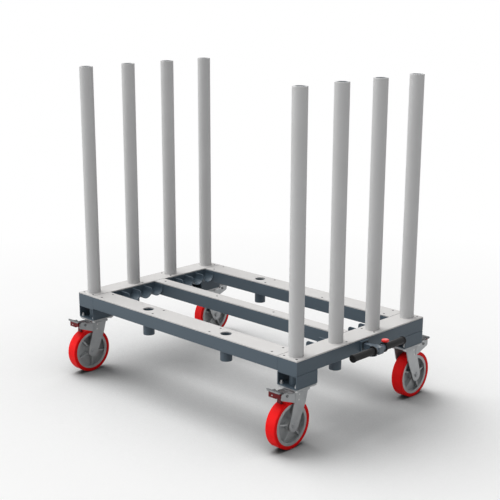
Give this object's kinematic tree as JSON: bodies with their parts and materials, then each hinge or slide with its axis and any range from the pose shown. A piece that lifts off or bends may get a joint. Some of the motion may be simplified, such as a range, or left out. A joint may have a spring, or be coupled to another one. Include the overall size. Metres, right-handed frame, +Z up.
{
  "type": "sheet goods cart",
  "caption": "Low steel cart on four red swivel wheels with brake pedals, two rows of upright posts, open deck sockets and a T-shaped draw handle.",
  "frame": {"origin": "centre of the deck's top face", "axes": "+X points along the deck to the draw handle, +Y across the deck, +Z up"},
  "size_m": [1.4335, 0.986, 1.38],
  "materials": {
    "frame_paint": "satin powder coat",
    "deck_plate": "smooth, matt",
    "post_sleeve": "smooth, matt",
    "caster_zinc": "zinc plated",
    "bolt_zinc": "bright zinc",
    "wheel_aluminium": "as cast, turned lip",
    "tread_red": "smooth polyurethane",
    "block_red": "moulded",
    "grip_black": "fine grained",
    "button_red": "moulded"
  },
  "bodies": {
    "frame": {"end_beam_left": "frame_paint", "end_beam_right": "frame_paint", "side_beams": "frame_paint", "centre_beam": "frame_paint", "corner_tubes": "frame_paint", "post_sockets": "frame_paint", "end_plates": "deck_plate", "side_plates": "deck_plate", "centre_plate": "deck_plate", "drawbar_guide": "frame_paint", "cradle_left_front": "frame_paint", "cradle_left_rear": "frame_paint", "cradle_right_front": "frame_paint", "cradle_right_rear": "frame_paint", "caster_plates": "caster_zinc", "caster_bolts": "bolt_zinc"},
    "post_1": {"post_core_1": "frame_paint", "post_sleeve_1": "post_sleeve"},
    "post_2": {"post_core_2": "frame_paint", "post_sleeve_2": "post_sleeve"},
    "post_3": {"post_core_3": "frame_paint", "post_sleeve_3": "post_sleeve"},
    "post_4": {"post_core_4": "frame_paint", "post_sleeve_4": "post_sleeve"},
    "post_5": {"post_core_5": "frame_paint", "post_sleeve_5": "post_sleeve"},
    "post_6": {"post_core_6": "frame_paint", "post_sleeve_6": "post_sleeve"},
    "post_7": {"post_core_7": "frame_paint", "post_sleeve_7": "post_sleeve"},
    "post_8": {"post_core_8": "frame_paint", "post_sleeve_8": "post_sleeve"},
    "caster_front_left": {"fork_front_left": "caster_zinc", "axle_front_left": "bolt_zinc"},
    "wheel_front_left": {"wheel_core_front_left": "wheel_aluminium", "tread_front_left": "tread_red"},
    "pedal_front_left": {"brake_pedal_front_left": "caster_zinc", "pedal_block_front_left": "block_red"},
    "caster_front_right": {"fork_front_right": "caster_zinc", "axle_front_right": "bolt_zinc"},
    "wheel_front_right": {"wheel_core_front_right": "wheel_aluminium", "tread_front_right": "tread_red"},
    "pedal_front_right": {"brake_pedal_front_right": "caster_zinc", "pedal_block_front_right": "block_red"},
    "caster_rear_left": {"fork_rear_left": "caster_zinc", "axle_rear_left": "bolt_zinc"},
    "wheel_rear_left": {"wheel_core_rear_left": "wheel_aluminium", "tread_rear_left": "tread_red"},
    "pedal_rear_left": {"brake_pedal_rear_left": "caster_zinc", "pedal_block_rear_left": "block_red"},
    "caster_rear_right": {"fork_rear_right": "caster_zinc", "axle_rear_right": "bolt_zinc"},
    "wheel_rear_right": {"wheel_core_rear_right": "wheel_aluminium", "tread_rear_right": "tread_red"},
    "pedal_rear_right": {"brake_pedal_rear_right": "caster_zinc", "pedal_block_rear_right": "block_red"},
    "draw_handle": {"drawbar": "frame_paint", "handle_hub": "frame_paint", "handle_grips": "grip_black"},
    "button": {"release_button": "button_red"}
  },
  "joints": [
    {"name": "post_1_lift", "type": "slide", "parent": "frame", "child": "post_1", "axis": [0, 0, 1], "range_m": [0, 0.12]},
    {"name": "post_2_lift", "type": "slide", "parent": "frame", "child": "post_2", "axis": [0, 0, 1], "range_m": [0, 0.12]},
    {"name": "post_3_lift", "type": "slide", "parent": "frame", "child": "post_3", "axis": [0, 0, 1], "range_m": [0, 0.12]},
    {"name": "post_4_lift", "type": "slide", "parent": "frame", "child": "post_4", "axis": [0, 0, 1], "range_m": [0, 0.12]},
    {"name": "post_5_lift", "type": "slide", "parent": "frame", "child": "post_5", "axis": [0, 0, 1], "range_m": [0, 0.12]},
    {"name": "post_6_lift", "type": "slide", "parent": "frame", "child": "post_6", "axis": [0, 0, 1], "range_m": [0, 0.12]},
    {"name": "post_7_lift", "type": "slide", "parent": "frame", "child": "post_7", "axis": [0, 0, 1], "range_m": [0, 0.12]},
    {"name": "post_8_lift", "type": "slide", "parent": "frame", "child": "post_8", "axis": [0, 0, 1], "range_m": [0, 0.12]},
    {"name": "swivel_front_left", "type": "hinge", "parent": "frame", "child": "caster_front_left", "pos_m": [-0.62, -0.34, -0.13], "axis": [0, 0, 1], "continuous": true},
    {"name": "roll_front_left", "type": "hinge", "parent": "caster_front_left", "child": "wheel_front_left", "pos_m": [-0.62, -0.393, -0.265], "axis": [1, 0, 0], "continuous": true},
    {"name": "brake_front_left", "type": "hinge", "parent": "caster_front_left", "child": "pedal_front_left", "pos_m": [-0.62, -0.4341, -0.133], "axis": [1, 0, 0], "range_deg": [0, 14]},
    {"name": "swivel_front_right", "type": "hinge", "parent": "frame", "child": "caster_front_right", "pos_m": [0.62, -0.34, -0.13], "axis": [0, 0, 1], "continuous": true},
    {"name": "roll_front_right", "type": "hinge", "parent": "caster_front_right", "child": "wheel_front_right", "pos_m": [0.62, -0.393, -0.265], "axis": [1, 0, 0], "continuous": true},
    {"name": "brake_front_right", "type": "hinge", "parent": "caster_front_right", "child": "pedal_front_right", "pos_m": [0.62, -0.4341, -0.133], "axis": [1, 0, 0], "range_deg": [0, 14]},
    {"name": "swivel_rear_left", "type": "hinge", "parent": "frame", "child": "caster_rear_left", "pos_m": [-0.62, 0.34, -0.13], "axis": [0, 0, 1], "continuous": true},
    {"name": "roll_rear_left", "type": "hinge", "parent": "caster_rear_left", "child": "wheel_rear_left", "pos_m": [-0.62, 0.393, -0.265], "axis": [1, 0, 0], "continuous": true},
    {"name": "brake_rear_left", "type": "hinge", "parent": "caster_rear_left", "child": "pedal_rear_left", "pos_m": [-0.62, 0.4341, -0.133], "axis": [-1, 0, 0], "range_deg": [0, 14]},
    {"name": "swivel_rear_right", "type": "hinge", "parent": "frame", "child": "caster_rear_right", "pos_m": [0.62, 0.34, -0.13], "axis": [0, 0, 1], "continuous": true},
    {"name": "roll_rear_right", "type": "hinge", "parent": "caster_rear_right", "child": "wheel_rear_right", "pos_m": [0.62, 0.393, -0.265], "axis": [1, 0, 0], "continuous": true},
    {"name": "brake_rear_right", "type": "hinge", "parent": "caster_rear_right", "child": "pedal_rear_right", "pos_m": [0.62, 0.4341, -0.133], "axis": [-1, 0, 0], "range_deg": [0, 14]},
    {"name": "drawbar_pull", "type": "slide", "parent": "frame", "child": "draw_handle", "axis": [1, 0, 0], "range_m": [0, 0.65]},
    {"name": "button_press", "type": "slide", "parent": "draw_handle", "child": "button", "axis": [0, 0, -1], "range_m": [0, 0.003], "stiffness_N_per_m": 300}
  ]
}
